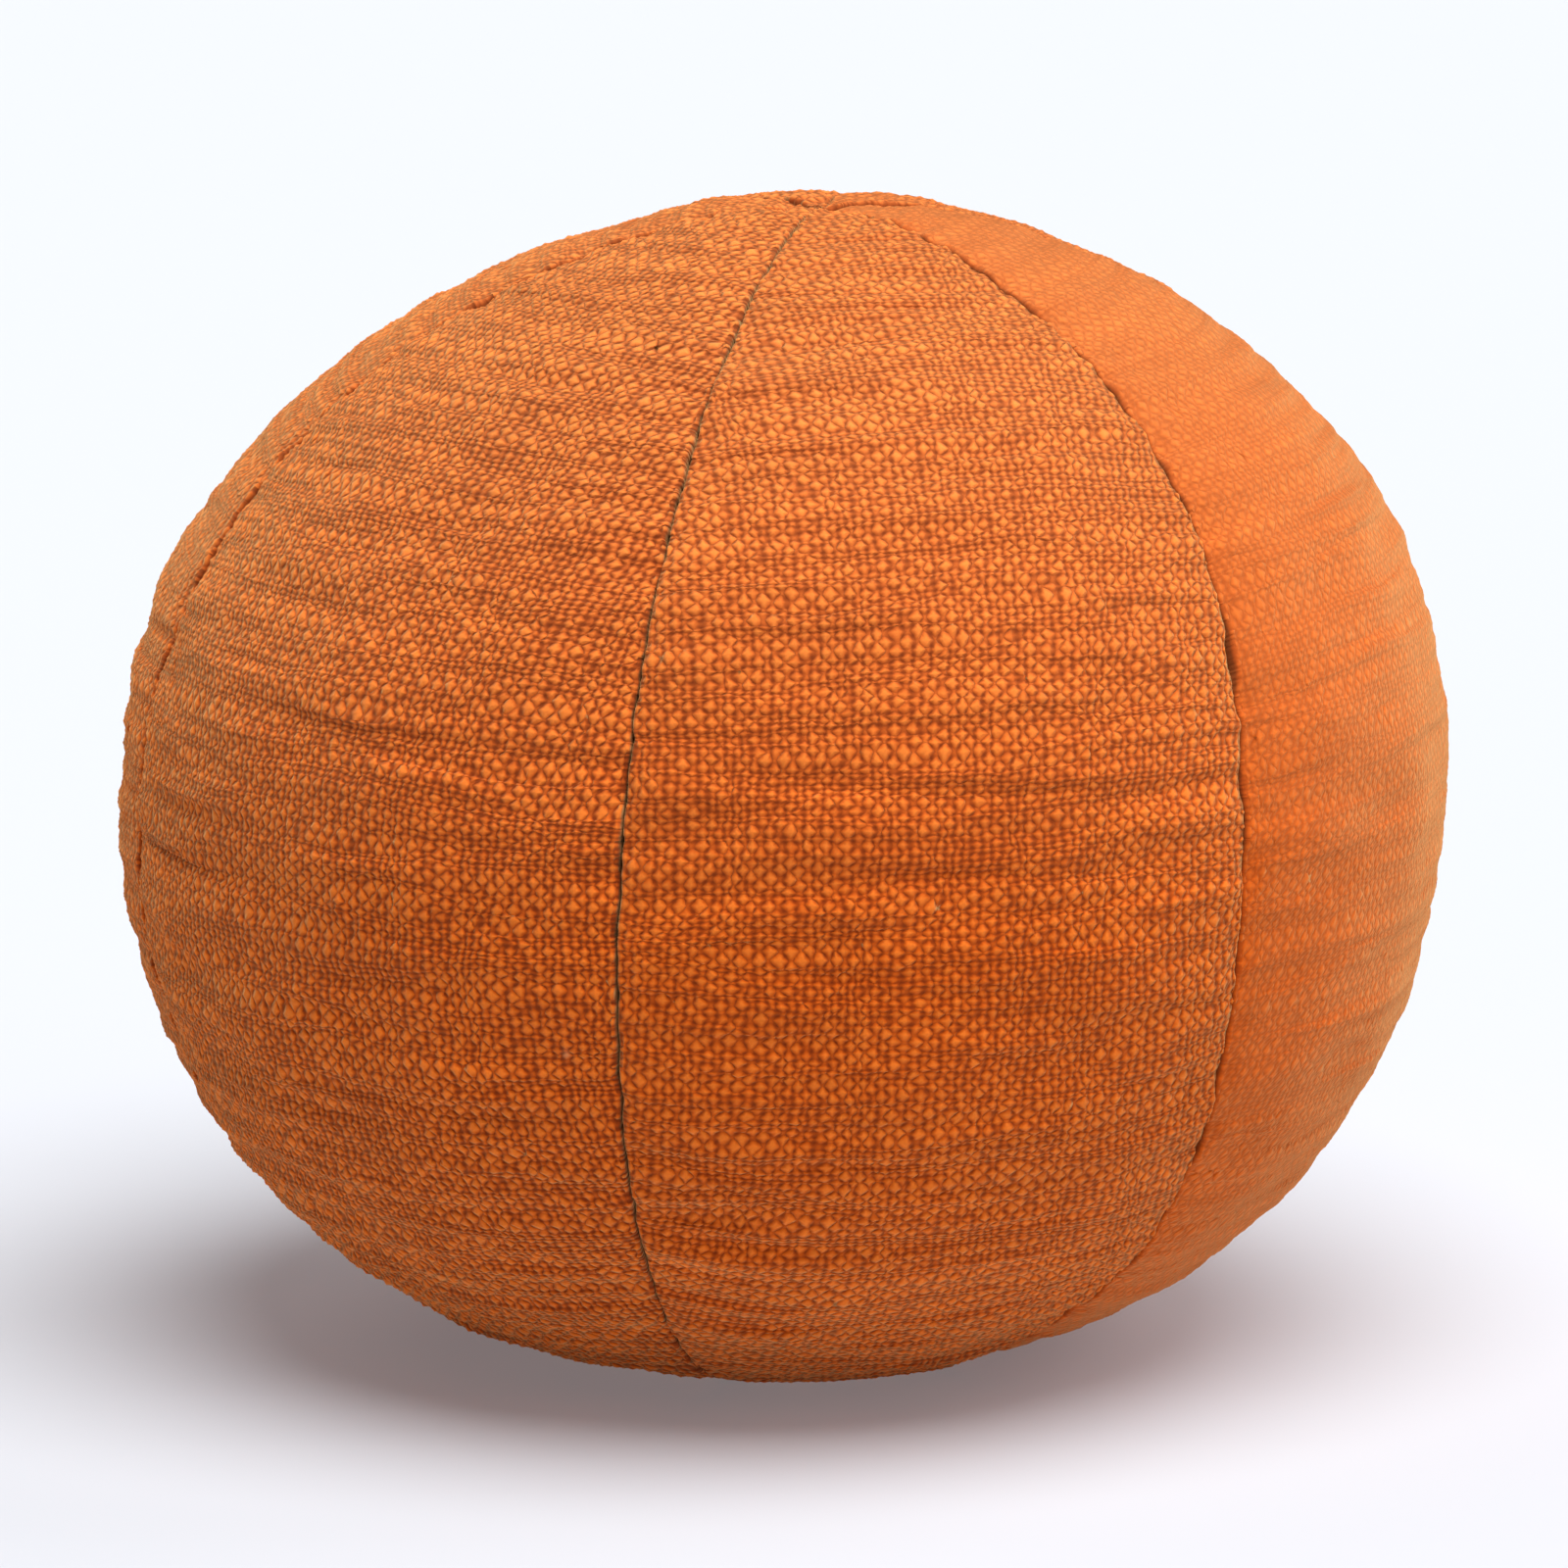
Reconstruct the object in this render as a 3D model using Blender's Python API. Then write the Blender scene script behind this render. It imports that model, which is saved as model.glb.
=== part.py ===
# Ball-shaped accent pillow, sewn from six pointed gores and stuffed firm.
# Metres, +Z up. The origin is under the middle of the pillow, at the level that it rests on.
# The front of the pillow, with one seam left of the middle, faces -Y.

import bmesh
import bpy
from math import copysign, cos, exp, pi, radians, sin
from mathutils import Vector

# Driving sizes of the stuffed ball
NAME = "ball_pillow"
GIRTH_RADIUS = 0.1492     # middle axis to the face at the widest ring
RISE = 0.1333             # widest ring to the top pole
DROP = 0.1330             # widest ring to the bottom pole, before it is pressed flat
FLAT_RADIUS = 0.046       # spot that the weight presses flat
TOP_TAPER = 1.09          # over 1 draws the upper half in towards a point
BASE_TAPER = 0.88         # under 1 fills the lower half out
HALF_ROUNDING = 0.92      # how the height follows the way from the widest ring to a pole
LEAN = 0.035              # slump to the right, for each metre of height over the widest ring
BOW = 0.0335              # slip of both poles to the right of the widest ring, in radii

# The six seams, in order round the ball. Angles in degrees, counted to the right from the front.
# Sway is how far the seam swings to the sides on its way from pole to pole.
SEAM_COLUMNS = ("angle", "sway")
SEAMS = (
    (-13.7, 0.0),
    (43.4, 1.2),
    (104.0, 0.6),
    (163.5, -0.8),
    (223.0, 0.5),
    (283.8, 0.0),
)
SWAY_TURNS = 4            # swings of a swaying seam in a full turn
SWAY_START = radians(45)  # latitude of its farthest swing

# Relief of the cloth faces
CROWN = 0.0018            # bulge of a gore between its two seams
SEAM_DEPTH = 0.0026       # valley along a seam
SEAM_REACH = 0.0060       # how far from the seam that valley fades
POLE_DEPTH = 0.0030       # dimple where the six points meet at the top
POLE_REACH = 0.011
GATHER = 0.0008           # folds that run into the top from the gathered points
GATHER_NEAR = 0.022       # distance from the pole where they are deepest
GATHER_SPREAD = 0.012
GATHER_FOLDS = 3          # folds across one gore

# Spacing of the solids and fineness of their faces
PIECE_GAP = 0.0003        # between the walls of neighbouring gores
COLUMNS = 14              # faces across a gore
ROWS = 38                 # faces from pole to pole
EDGE_CROWDING = 0.8       # 0 spaces the columns evenly, 1 crowds them at the seams
WELD = 0.00002
CREASE = radians(50)      # edges bent more than this stay sharp in the shading
AXIS_SHARE = 0.9          # share of the axis that the walls use, so that none lies in the flat spot
GRID_EDGE = 0.999         # the flat grid runs from -1 to 1, and past this a point is on its edge
AXIS_SIDE = 2.0           # where the flat grid keeps the edges that go to the axis

# Colour of the woven cloth, linear
CLOTH_COLOUR = (0.78, 0.19, 0.045, 1.0)
CLOTH_ROUGHNESS = 0.95


def clear_scene():
    for item in list(bpy.data.objects):
        bpy.data.objects.remove(item, do_unlink=True)


def signed_power(value, power):
    return copysign(abs(value) ** power, value)


def ring(latitude):
    """Radius and height, from the widest ring, of the plain ball at a latitude."""
    upper = latitude > 0
    radius = GIRTH_RADIUS * max(cos(latitude), 0.0) ** (TOP_TAPER if upper else BASE_TAPER)
    height = (RISE if upper else DROP) * signed_power(sin(latitude), HALF_ROUNDING)
    return radius, height


def rest_level():
    """Height of the flat spot, from the widest ring: where the lower half is FLAT_RADIUS wide."""
    cosine = (FLAT_RADIUS / GIRTH_RADIUS) ** (1 / BASE_TAPER)
    sine = (1 - cosine * cosine) ** 0.5
    return -DROP * sine ** HALF_ROUNDING


def slump(height):
    """Sideways place of the middle axis at a height from the widest ring."""
    return LEAN * height + BOW * height * height / GIRTH_RADIUS


def seam_angle(index, latitude):
    seam = dict(zip(SEAM_COLUMNS, SEAMS[index % len(SEAMS)]))
    swing = cos(SWAY_TURNS * (latitude - SWAY_START)) * cos(latitude)
    turns = 2 * pi * (index // len(SEAMS))
    return radians(seam["angle"] + seam["sway"] * swing) + turns


def bell(distance, reach):
    return exp(-((distance / reach) ** 2))


def relief(across, angle_to_seam, radius, latitude):
    """How far the cloth stands out from the plain ball, negative where it is drawn in."""
    from_seam = radius * angle_to_seam
    bulge = CROWN * (1 - across * across) * cos(latitude)
    valley = SEAM_DEPTH * bell(from_seam, SEAM_REACH)
    if latitude < 0:
        return bulge - valley
    dimple = POLE_DEPTH * bell(radius, POLE_REACH)
    gathered = radius / GATHER_NEAR * bell(radius - GATHER_NEAR, GATHER_SPREAD)
    folds = GATHER * gathered * cos(GATHER_FOLDS * pi * across)
    return bulge - valley - dimple + folds


def face_point(index, across, latitude):
    """Point of the cloth face of one gore: across runs from -1 to 1 between its seams."""
    left = seam_angle(index, latitude)
    right = seam_angle(index + 1, latitude)
    angle = left + (right - left) * (across + 1) / 2
    to_seam = (right - left) * (1 - abs(across)) / 2
    radius, height = ring(latitude)
    out = relief(across, to_seam, radius, latitude)
    radius = max(radius + out * cos(latitude), 0.0)
    height = max(height + out * sin(latitude), rest_level())
    side = slump(height)
    return Vector((side + radius * sin(angle), -radius * cos(angle), height - rest_level()))


def axis_point(latitude):
    """Point on the middle axis that the walls reach from the seams at a latitude."""
    end = RISE if latitude > 0 else -rest_level()
    height = AXIS_SHARE * end * sin(latitude)
    return Vector((slump(height), 0.0, height - rest_level()))


def gore_middle(index):
    """Direction from the axis to the middle of a gore."""
    angle = (seam_angle(index, 0.0) + seam_angle(index + 1, 0.0)) / 2
    return Vector((sin(angle), -cos(angle), 0.0))


def wall_stand_off(index):
    """How far a gore stands off the axis, so that its walls keep half the gap on each side."""
    half_angle = (seam_angle(index + 1, 0.0) - seam_angle(index, 0.0)) / 2
    return PIECE_GAP / 2 / sin(half_angle)


def crowded(position):
    """Column position from -1 to 1, moved towards the seams so that the valley gets more faces."""
    return (1 - EDGE_CROWDING) * position + EDGE_CROWDING * sin(position * pi / 2)


def draw_in_walls(bm):
    """The grid's two seam edges are extruded to AXIS_SIDE, where the axis is.

    Each wall face is then split from its lower axis corner to its upper seam corner. Facing walls
    of two gores get the same diagonals that way, and stay parallel.
    """
    seam_edges = [e for e in bm.edges if e.is_boundary and all(at_edge(v.co.x) for v in e.verts)]
    walls = bmesh.ops.extrude_edge_only(bm, edges=seam_edges)["geom"]
    for vert in (item for item in walls if isinstance(item, bmesh.types.BMVert)):
        vert.co.x = copysign(AXIS_SIDE, vert.co.x)
    for face in [item for item in walls if isinstance(item, bmesh.types.BMFace)]:
        corners = sorted(face.verts, key=lambda v: (round(abs(v.co.x)), -v.co.y))
        upper_seam_corner, lower_axis_corner = corners[0], corners[-1]
        bmesh.utils.face_split(face, upper_seam_corner, lower_axis_corner)


def at_edge(coordinate):
    return abs(coordinate) > GRID_EDGE


def wrapped(index, place):
    """Point of the gore for a place on the flat grid. The poles are on the axis themselves."""
    latitude = place.y * pi / 2
    if abs(place.x) > (1 + AXIS_SIDE) / 2 and not at_edge(place.y):
        return axis_point(latitude)
    return face_point(index, crowded(place.x), latitude)


def shape_gore(mesh, index):
    """A flat grid is wrapped on the ball, with walls from its seam edges to the middle axis."""
    bm = bmesh.new()
    bmesh.ops.create_grid(bm, x_segments=COLUMNS, y_segments=ROWS, size=1.0)
    draw_in_walls(bm)
    for vert in bm.verts:
        vert.co = wrapped(index, vert.co)
    bmesh.ops.remove_doubles(bm, verts=bm.verts, dist=WELD)
    bmesh.ops.translate(bm, verts=bm.verts, vec=gore_middle(index) * wall_stand_off(index))
    bmesh.ops.recalc_face_normals(bm, faces=bm.faces)
    bm.to_mesh(mesh)
    bm.free()


def cloth_material(name):
    material = bpy.data.materials.new(name)
    material.use_nodes = True
    shader = material.node_tree.nodes["Principled BSDF"]
    shader.inputs["Base Color"].default_value = CLOTH_COLOUR
    shader.inputs["Roughness"].default_value = CLOTH_ROUGHNESS
    shader.inputs["Metallic"].default_value = 0.0
    return material


def make_gore(index, collection):
    name = f"gore_{index + 1}"
    mesh = bpy.data.meshes.new(name)
    shape_gore(mesh, index)
    mesh.shade_smooth()
    mesh.set_sharp_from_angle(angle=CREASE)
    mesh.materials.append(cloth_material(name + "_cloth"))
    gore = bpy.data.objects.new(name, mesh)
    collection.objects.link(gore)
    return gore


def main():
    clear_scene()
    collection = bpy.data.collections.new(NAME)
    bpy.context.scene.collection.children.link(collection)
    for index in range(len(SEAMS)):
        make_gore(index, collection)


main()
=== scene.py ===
from math import cos, pi, radians, sin

import bpy
import numpy as np
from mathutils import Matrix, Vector
from mathutils.bvhtree import BVHTree


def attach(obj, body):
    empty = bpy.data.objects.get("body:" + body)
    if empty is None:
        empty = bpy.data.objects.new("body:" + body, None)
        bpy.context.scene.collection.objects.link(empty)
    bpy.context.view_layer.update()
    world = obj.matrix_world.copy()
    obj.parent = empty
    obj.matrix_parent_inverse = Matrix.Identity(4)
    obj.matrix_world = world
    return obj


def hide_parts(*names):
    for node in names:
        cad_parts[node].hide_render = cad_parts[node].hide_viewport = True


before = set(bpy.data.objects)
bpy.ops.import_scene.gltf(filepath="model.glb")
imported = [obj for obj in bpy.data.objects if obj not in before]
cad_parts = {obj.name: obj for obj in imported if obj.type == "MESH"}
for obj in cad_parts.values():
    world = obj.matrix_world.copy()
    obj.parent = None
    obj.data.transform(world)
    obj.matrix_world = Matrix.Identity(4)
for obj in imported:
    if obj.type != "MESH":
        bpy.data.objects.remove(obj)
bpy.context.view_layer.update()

MM = 0.001

# Driving sizes of the stuffed ball, as in the solids
GIRTH_RADIUS = 0.1492
RISE = 0.1333
DROP = 0.1330
FLAT_RADIUS = 0.046
TOP_TAPER = 1.09
BASE_TAPER = 0.88
HALF_ROUNDING = 0.92
LEAN = 0.035
BOW = 0.0335

# The six gores in order round the ball, each from its left seam to the left seam of the next.
# Angles in degrees, counted to the right from the front. Sway is how far the left seam swings.
# Nubby is how much of the nubs' relief stands out, because not every length of the cloth is as coarse.
GORE_COLUMNS = ("piece", "node", "left_seam", "sway", "nubby")
GORES = (
    ("front_gore", "gore_1", -13.7, 0.0, 1.0),
    ("right_gore", "gore_2", 43.4, 1.2, 0.38),
    ("back_right_gore", "gore_3", 104.0, 0.6, 0.7),
    ("back_gore", "gore_4", 163.5, -0.8, 0.95),
    ("back_left_gore", "gore_5", 223.0, 0.5, 0.9),
    ("left_gore", "gore_6", 283.8, 0.0, 1.15),
)
NUBBY = GORE_COLUMNS.index("nubby")
SWAY_TURNS = 4
SWAY_START = radians(45)
SEAM_WAVER = 0.12 * MM    # how far each kind of small wave takes a seam to the side
SEAM_WAVES = (37, 59, 83) # how many waves of each kind a full turn over the poles would have
PIECE_GAP = 0.14 * MM     # between the turned edges of two gores
AXIS_SHARE = 0.9          # share of the middle axis that the gores' walls reach along

# The filling's skin, simulated
SKIN_VOXEL = 5 * MM
SKIN_INSET = 0.2 * MM     # the skin starts this much inside the solids, because it swells
PRESSURE = 4.0
PUMP_FRAMES = 20
SWELL_LIMIT = 1.2 * MM    # no point of the skin swells further than this
PIN_REACH = 4 * MM        # the skin is held this near to a seam
FOOT_FADE = 15 * MM       # the skin's own shape fades out this high over the flat spot

# Unevenness of the filling, felt through the cloth
LUMP_HEIGHT = 0.35 * MM
LUMP_SPACING = 45 * MM

# The weave. A crossing is where one warp thread and one weft thread lie over each other.
WARP_PITCH = 2.0 * MM     # between the threads that run from pole to pole
WEFT_PITCH = 1.45 * MM    # between the slub threads that run across, on average
ROW_DIP = radians(1.4)    # how far a row sags towards the widest ring at its two seams
NUB_SPREAD = 0.15         # how far a nub pushes its narrow neighbours aside, in threads
WEFT_WAVER = 0.35         # how far a weft thread strays in slow waves, in threads
WEFT_CHANCE = 0.10        # and from crossing to crossing
WARP_WAVER = 0.25
WARP_CHANCE = 0.14
NUB_HEIGHT = 0.40 * MM    # an even nub over the pits between the threads
BETWEEN_WARPS = 0.15      # how much of a nub's height is left half way to the next warp thread
BETWEEN_WEFTS = 0.35      # and half way to the next weft thread
MEAN_HEIGHT = 0.32        # mean height of the face over the pits, in nub heights
NUB_SHARE = 0.75          # share of the nubs' relief in the mesh, which the material's relief adds to
RIB_SHARE = 0.70          # height of the uneven ribs along the rows, in nub heights
RIB_FADE = 0.3            # 1 makes the ribs as low as the nubs on a smoother cloth, 0 leaves them whole
FLAT_NUB = 0.3            # part of a nub's height that its thread's thickness doesn't change
NUB_CHANCE = 0.18         # how much lower or higher than its thread a nub is, as a share
KNUCKLE_HEIGHT = 0.85     # of the warp's knuckles, in nub heights, if the weft had no thickness
KNUCKLE_HIDDEN = 0.5      # how much of that a weft of even thickness hides
KNUCKLE_CHANCE = 0.12
FACE_CHANCE = 0.10        # how uneven the face is from one point of the lattice to the next
OPEN_GAP = 0.10           # how much deeper some gaps between the warp threads are

# Thickness of the slub weft, 1 on average
PLAIN_THICKNESS = 0.9     # where no slub is
ROW_CHANCE = 0.10         # how much it varies from row to row
STREAK_CHANCE = 0.22      # along a row, in stretches
CROSSING_CHANCE = 0.08    # and from crossing to crossing
CROSSINGS_TO_A_SLUB = 70  # a slub is a stretch of thick weft
SLUB_SWELL = (0.1, 0.9)   # the least and the most that a slub adds at its middle
SLUB_REACH = (1.2, 8)     # and how far it reaches from there, in crossings
THICKNESS_RANGE = (0.6, 1.9)

# The nubs as round domes, which the material draws at the crossings
NUB_RADIUS = 0.45 * MM    # of a flat nub, seen from above
NUB_GROWTH = 0.65 * MM    # how much wider an even nub is
WIDEST_NUB = 1.22 * MM    # radius past which a nub would meet the next in a straight edge
TALLEST_NUB = 1.4         # in nub heights
SIZE_CHANCE = 0.25        # how much smaller or larger than its thread a nub can be, as a share
SOFT_RIM = 1.25           # 1 makes a nub a plain dome, and more lets its rim fade into the cloth
CELL_SCATTER = 0.30       # how far the nubs and knuckles stand out of line, in lattice steps
MIDDLE_SHADE = 0.40       # height that a smoother cloth's nubs and pits are drawn towards
THREAD_SHARE = 0.35       # share of the threads themselves in the height that shades the cloth

# Colours of the cloth: the dye from the pits up to the tops of the nubs, with painted shade darkening the
# pits and painted light on the nub tops, and flecks of other fibre
DYE_AND_PAINTED_PIT_SHADE = ((0.0, "#842A01"), (0.25, "#B94706"), (0.55, "#DC5D0F"), (1.0, "#F47823"))
PALE_FIBRE = "#E9A87C"
DARK_FIBRE = "#4A3038"
PATCH_SIZE = 50 * MM      # of the patches that took the dye a little better or worse
PATCH_TONE = 0.05         # how much lighter or darker they are
THREAD_TONE = 0.03        # how much lighter or darker a single thread is
STREAK_TONE = 0.05        # and a stretch of the weft
FIBRE_LOOP = 0.5 * MM     # size of the loose fibre's loops
FIBRE_TONE = 0.14
FIBRE_HEIGHT = 0.12 * MM
TWIST_SLANT = radians(35)
IN_SEAM_PAINTED_SHADE = 0.6        # lightness of the painted shade on the cloth that is turned into a seam
PAINTED_TOP_LIGHT_FROM = 0.12          # height over the floor where the painted light on the cloth's top starts
PAINTED_TOP_LIGHT_TO = 0.24            # height where the painted light is strongest
PAINTED_TOP_LIGHT = ((0.5, 0.508), (1.0, 0.96), (1.0, 1.14))  # hue, strength and lightness of the painted top light at these heights

# Seams
SEAM_DEPTH = 0.6 * MM     # soft valley along a seam
SEAM_REACH = 3.5 * MM
PUCKER = 0.6              # how much deeper and shallower the valley gets along the seam
SEAM_FADE = 24 * MM       # from the top pole: nearer than this the seams are drawn flat
PUCKER_SPACING = 9 * MM   # along the seam
ROLL = 0.8 * MM           # radius of the cloth's edge where it turns into the seam
NARROW_FACE = 0.4         # share of a gore's width that its face keeps close to the poles
TO_SHOULDER = 0.15        # a thread nearer than this to the rolled edge is drawn to it, in threads
SEAM_SLACK = 0.16 * MM    # how far the edges stand apart here and there
SLACK_SPACING = 4 * MM

# Columns of points that turn a gore's edge into the seam, from the face inwards, in roll radii.
# Kept is the share of the weave's relief that is left there.
EDGE_COLUMNS = ("to_seam", "depth", "kept")
TURNED_EDGE = (
    (0.293, 0.293, 0.8),
    (0.0, 1.0, 0.4),
    (0.0, 4.0, 0.0),
)

# Poles
TOP_DIMPLE = 0.8 * MM     # over the dimple that the solids have
TOP_DIMPLE_REACH = 9 * MM
CRINKLE = 0.45 * MM       # where the gathered cloth creases round the top pole
CRINKLE_SPACING = 6 * MM
CRINKLE_REACH = 17 * MM

# Small accidents in the cloth. Angles in degrees to the right from the front, heights over the floor.
# A knot is a thick lump in the yarn. A fleck is a bit of other fibre: pale over 0, dark under 0.
KNOT_COLUMNS = ("angle", "height", "raise", "reach")
KNOTS = (
    (-39.7, 0.1248, 0.9 * MM, 2.0 * MM),
    (-37.2, 0.1205, 0.6 * MM, 1.6 * MM),
)
FLECK_COLUMNS = ("angle", "height", "tint", "reach")
FLECKS = (
    (42.0, 0.142, -0.9, 0.7 * MM),
    (-18.2, 0.0966, 0.5, 0.7 * MM),
    (25.4, 0.0709, -0.6, 0.9 * MM),
)
# Places where a seam gapes a little: the seam is the left one of a gore, by its number from 0.
GAPE_COLUMNS = ("seam", "height", "width", "reach")
GAPES = (
    (5, 0.209, 0.55 * MM, 1.3 * MM),
    (5, 0.176, 0.25 * MM, 2.2 * MM),
    (1, 0.177, 0.80 * MM, 7.0 * MM),
    (0, 0.120, 0.10 * MM, 90.0 * MM),
)

SEED = 41                 # of all that is left to chance
WELD = 0.02 * MM

# Camera, from the photograph's outline
VIEW_AIM = Vector((0.0003, 0.0, 0.12768))
VIEW_ELEVATION = radians(11.5)
VIEW_DISTANCE = 2.288
LENS_MM = 230.5
SENSOR_MM = 36.0

# Wide, far lights, as of a studio with white walls, that light the floor evenly out to the back.
# Azimuth in degrees to the right from the front, elevation, width in degrees, watts for a square metre.
LIGHT_COLUMNS = ("name", "azimuth", "elevation", "width", "strength")
LIGHTS = (
    ("overhead", 28, 72, 50, 3.60),
    ("back_right", 120, 38, 40, 0.85),
    ("front_right", 50, 40, 40, 0.30),
    ("back_left", -140, 50, 40, 0.30),
)
LIGHT_DISTANCE = 2.5
WORLD_COLOUR = "#F4F7FF"
WORLD_STRENGTH = 0.04


def signed_power(value, power):
    return np.sign(value) * np.abs(value) ** power


def bell(distance, reach):
    return np.exp(-((distance / reach) ** 2))


def table(columns, rows):
    return [dict(zip(columns, row)) for row in rows]


def ring(latitude):
    """Radius and height, from the widest ring, of the plain ball at each latitude."""
    taper = np.where(latitude > 0, TOP_TAPER, BASE_TAPER)
    radius = GIRTH_RADIUS * np.maximum(np.cos(latitude), 0) ** taper
    height = np.where(latitude > 0, RISE, DROP) * signed_power(np.sin(latitude), HALF_ROUNDING)
    return radius, height


def rest_level():
    """Height of the flat spot, from the widest ring."""
    cosine = (FLAT_RADIUS / GIRTH_RADIUS) ** (1 / BASE_TAPER)
    return -DROP * (1 - cosine * cosine) ** (HALF_ROUNDING / 2)


def slump(height):
    """Sideways place of the middle axis at a height from the widest ring."""
    return LEAN * height + BOW * height * height / GIRTH_RADIUS


def seam_angle(index, latitude):
    gore = dict(zip(GORE_COLUMNS, GORES[index % len(GORES)]))
    swing = np.cos(SWAY_TURNS * (latitude - SWAY_START)) * np.cos(latitude)
    turns = 2 * pi * (index // len(GORES))
    waves = sum(np.sin(count * (latitude + index % len(GORES))) for count in SEAM_WAVES)
    wavering = SEAM_WAVER / GIRTH_RADIUS * waves
    return np.radians(gore["left_seam"] + gore["sway"] * swing) + wavering + turns


def half_width(index, latitude):
    """From the middle of a gore to its seams, along the ring."""
    between = seam_angle(index + 1, latitude) - seam_angle(index, latitude)
    return ring(latitude)[0] * between / 2


def around_axis(radius, angle, height):
    """Points from a radius and angle round the slumped axis and a height from the widest ring."""
    side = slump(height) + radius * np.sin(angle)
    return np.stack((side, -radius * np.cos(angle), height - rest_level()), -1)


def on_ball(index, across, latitude):
    """Points of the plain ball with their outward normals. Across is -1 and 1 at the two seams."""
    left = seam_angle(index, latitude)
    right = seam_angle(index + 1, latitude)
    angle = left + (right - left) * (across + 1) / 2
    radius, height = ring(latitude)
    step = 1e-4
    upper = ring(np.minimum(latitude + step, pi / 2))
    lower = ring(np.maximum(latitude - step, -pi / 2))
    pressed = height < rest_level()
    outward = np.where(pressed, 0.0, upper[1] - lower[1])
    upward = np.where(pressed, -1.0, lower[0] - upper[0])
    length = np.hypot(outward, upward)
    normal = np.stack((outward * np.sin(angle), -outward * np.cos(angle), upward), -1)
    point = around_axis(radius, angle, np.maximum(height, rest_level()))
    return point, normal / length[..., None]


def latitude_at(height):
    """Latitude at which the ball has a height from the widest ring."""
    half = np.where(np.asarray(height) > 0, RISE, DROP)
    return np.arcsin(np.clip(signed_power(height / half, 1 / HALF_ROUNDING), -1, 1))


def spot(angle, height):
    """Place on the ball's face at an angle in degrees and a height over the floor."""
    latitude = latitude_at(height + rest_level())
    return around_axis(ring(latitude)[0], radians(angle), height + rest_level())


def deselect_all():
    bpy.ops.object.select_all(action="DESELECT")


def make_active(piece):
    deselect_all()
    piece.select_set(True)
    bpy.context.view_layer.objects.active = piece


def apply_modifiers(piece):
    make_active(piece)
    for modifier in list(piece.modifiers):
        bpy.ops.object.modifier_apply(modifier=modifier.name)


def coordinates(mesh):
    flat = np.empty(len(mesh.vertices) * 3)
    mesh.vertices.foreach_get("co", flat)
    return flat.reshape(-1, 3)


def set_coordinates(mesh, points):
    mesh.vertices.foreach_set("co", np.ascontiguousarray(points, dtype=np.float32).ravel())
    mesh.update()


def joined_solids():
    """Copies of the six solid gores in one mesh, wrapped in a tight skin."""
    copies = []
    for gore in table(GORE_COLUMNS, GORES):
        copy = bpy.data.objects.new("filling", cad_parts[gore["node"]].data.copy())
        bpy.context.scene.collection.objects.link(copy)
        copies.append(copy)
    make_active(copies[0])
    for copy in copies:
        copy.select_set(True)
    bpy.ops.object.join()
    bpy.ops.object.mode_set(mode="EDIT")
    bpy.ops.mesh.select_all(action="SELECT")
    bpy.ops.mesh.convex_hull(use_existing_faces=False)
    bpy.ops.object.mode_set(mode="OBJECT")
    return copies[0]


def nearest_seam(points):
    """Distance along the ring from each point to the nearest seam."""
    height = points[:, 2] + rest_level()
    aside = points[:, 0] - slump(height)
    angle = np.arctan2(aside, -points[:, 1])
    nearest = np.full(len(points), pi)
    for index in range(len(GORES)):
        turn = (angle - seam_angle(index, latitude_at(height)) + pi) % (2 * pi) - pi
        nearest = np.minimum(nearest, np.abs(turn))
    return nearest * np.hypot(aside, points[:, 1])


def pump_up(skin):
    """Cloth simulation: the skin is held along its seams and its flat spot, and swells between."""
    start = coordinates(skin.data)
    held = (nearest_seam(start) < PIN_REACH) | (start[:, 2] < SKIN_INSET + MM)
    pins = skin.vertex_groups.new(name="pins")
    pins.add([int(number) for number in np.flatnonzero(held)], 1.0, "REPLACE")
    cloth = skin.modifiers.new("pumped", "CLOTH")
    cloth.settings.use_pressure = True
    cloth.settings.uniform_pressure_force = PRESSURE
    cloth.settings.effector_weights.gravity = 0.0
    cloth.settings.vertex_group_mass = pins.name
    for number in range(1, PUMP_FRAMES + 1):
        bpy.context.scene.frame_set(number)
    apply_modifiers(skin)
    bpy.context.scene.frame_set(1)
    moved = coordinates(skin.data) - start
    length = np.linalg.norm(moved, axis=1, keepdims=True)
    moved *= np.minimum(1.0, SWELL_LIMIT / np.maximum(length, WELD))
    set_coordinates(skin.data, start + moved)


def stuffed_skin():
    """Smooth skin of the filled ball, on which the cloth is laid."""
    skin = joined_solids()
    remesh = skin.modifiers.new("even", "REMESH")
    remesh.mode = "VOXEL"
    remesh.voxel_size = SKIN_VOXEL
    apply_modifiers(skin)
    normals = np.array([vertex.normal[:] for vertex in skin.data.vertices])
    set_coordinates(skin.data, coordinates(skin.data) - normals * SKIN_INSET)
    pump_up(skin)
    smooth = skin.modifiers.new("smooth", "SUBSURF")
    smooth.levels = 1
    smooth.render_levels = 1
    apply_modifiers(skin)
    return skin


def skin_offset(tree, points, normals):
    """How far each point lies under the skin, along its normal."""
    reach = 15 * MM
    offset = np.zeros(points.shape[:-1])
    flat = offset.reshape(-1)
    starts = (points + normals * reach).reshape(-1, 3)
    for number, (start, normal) in enumerate(zip(starts, normals.reshape(-1, 3))):
        distance = tree.ray_cast(Vector(start), Vector(-normal), 2 * reach)[3]
        if distance is not None:
            flat[number] = reach - distance
    return np.clip(offset, -SWELL_LIMIT, SWELL_LIMIT)


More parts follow.
